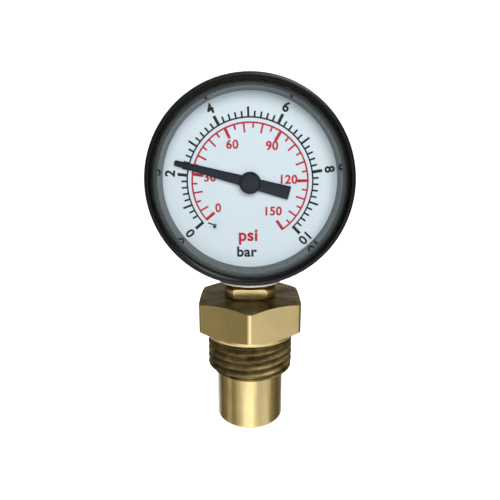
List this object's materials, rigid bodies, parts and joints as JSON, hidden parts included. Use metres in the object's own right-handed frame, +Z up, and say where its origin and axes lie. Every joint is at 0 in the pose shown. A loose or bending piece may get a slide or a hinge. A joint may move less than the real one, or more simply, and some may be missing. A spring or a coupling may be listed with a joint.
{
  "type": "pressure gauge",
  "caption": "Bottom-entry dial pressure gauge, 0 to 10 bar and 0 to 150 psi, with a Bourdon tube movement, on a brass hex adapter with a parallel thread and a smooth spigot.",
  "frame": {"origin": "centre of the adapter's washer face, on the stem axis, where the thread begins", "axes": "+Z up along the stem towards the dial, -Y out of the dial towards the reader, +X to the reader's right"},
  "size_m": [0.0424, 0.0289, 0.0815],
  "materials": {
    "case_plastic": "fine matt black moulded ABS with a polished inner lip",
    "window_clear": "clear moulded polycarbonate",
    "dial_white": "matt white dial, printed in black and red",
    "dark_steel": "blackened steel",
    "pointer_black": "satin navy-black moulded plastic",
    "movement_brass": "stamped and turned brass",
    "steel": "turned steel",
    "zinc_steel": "zinc-plated steel",
    "tube_bronze": "drawn phosphor bronze",
    "spring_bronze": "rolled phosphor bronze strip",
    "stem_brass": "machined brass",
    "bush_white": "white nylon",
    "gasket_dark": "dark fibre sealing ring",
    "polished_brass": "machined and polished brass"
  },
  "bodies": {
    "gauge_body": {"case": "case_plastic", "window": "window_clear", "dial": "dial_white", "stop_pin": "dark_steel", "bourdon_tube": "tube_bronze", "back_plate": "movement_brass", "front_plate": "movement_brass", "pillars": "movement_brass", "plate_screws": "steel", "movement_screws": "steel", "hairspring": "spring_bronze", "hairspring_stud": "steel", "stem": "stem_brass", "restrictor": "steel", "stem_bush": "bush_white", "port_gasket": "gasket_dark", "adapter": "polished_brass", "rear_screws": "zinc_steel"},
    "pointer_shaft": {"pinion_shaft": "steel", "pointer": "pointer_black", "pointer_bush": "movement_brass", "hairspring_collet": "movement_brass"},
    "sector": {"sector_gear": "movement_brass", "sector_arbor": "steel", "sector_pin": "steel"},
    "link": {"link": "movement_brass"},
    "tube_tip": {"tube_end": "movement_brass", "tip_pin": "steel"}
  },
  "joints": [
    {"name": "pointer_turn", "type": "hinge", "parent": "gauge_body", "child": "pointer_shaft", "pos_m": [0, -0.005, 0.037], "axis": [0, 1, 0], "range_deg": [-59.67, 220.08], "stiffness_Nm_per_rad": 0.0005, "deforming": ["hairspring"]},
    {"name": "sector_swing", "type": "hinge", "parent": "gauge_body", "child": "sector", "pos_m": [0.00185, -0.003, 0.02514], "axis": [0, 1, 0], "range_deg": [-31.6, 8.8]},
    {"name": "link_swing", "type": "hinge", "parent": "sector", "child": "link", "pos_m": [0.00475, -0.0023, 0.02216], "axis": [0, 1, 0], "range_deg": [-8.8, 31.6]},
    {"name": "tube_flex", "type": "hinge", "parent": "gauge_body", "child": "tube_tip", "pos_m": [-0.00188, 0, 0.04026], "axis": [0, 1, 0], "range_deg": [-8.4, 2.5], "deforming": ["bourdon_tube"]}
  ],
  "couplings": [
    {"joint": "sector_swing", "follows": "pointer_turn", "ratio": -0.14286},
    {"joint": "link_swing", "follows": "pointer_turn", "ratio": 0.14286},
    {"joint": "tube_flex", "follows": "pointer_turn", "ratio": -0.037176}
  ]
}
